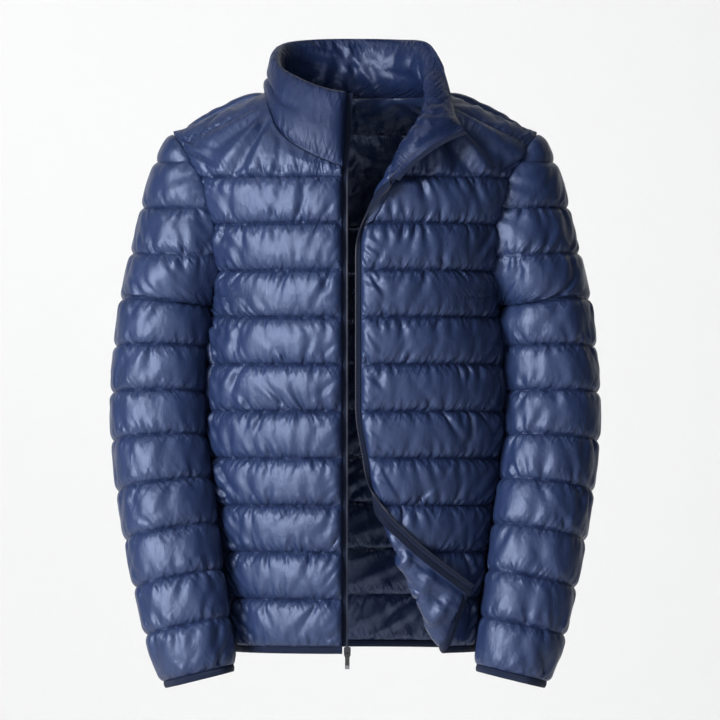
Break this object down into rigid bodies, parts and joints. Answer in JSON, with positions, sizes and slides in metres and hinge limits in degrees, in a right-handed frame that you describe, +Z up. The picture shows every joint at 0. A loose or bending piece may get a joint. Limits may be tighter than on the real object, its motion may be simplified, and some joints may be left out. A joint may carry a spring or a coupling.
{
  "type": "puffer jacket",
  "caption": "Lightweight quilted puffer jacket with a stand collar, long sleeves and an open front zip, filled out and hollow.",
  "frame": {"origin": "in the neck opening at the height of the shoulder line, on the jacket's middle plane", "axes": "+Z up, -Y to the front, +X to the wearer's left"},
  "size_m": [0.604, 0.2789, 0.8154],
  "materials": {
    "shell": "satin nylon",
    "trim": "woven tape and elastic",
    "slider": "dark painted",
    "pull": "matt"
  },
  "bodies": {
    "jacket": {"back": "shell", "right_front": "shell", "left_front": "shell", "right_sleeve": "shell", "left_sleeve": "shell", "collar": "shell", "right_zip": "trim", "left_zip": "trim", "right_hem_binding": "trim", "left_hem_binding": "trim", "back_hem_binding": "trim", "right_cuff_binding": "trim", "left_cuff_binding": "trim", "zip_slider": "slider"},
    "pull": {"zip_pull": "pull"}
  },
  "joints": [
    {"name": "pull_swing", "type": "hinge", "parent": "jacket", "child": "pull", "pos_m": [-0.0098, -0.1227, -0.7068], "axis": [1, 0, 0], "range_deg": [-140, 5]}
  ]
}
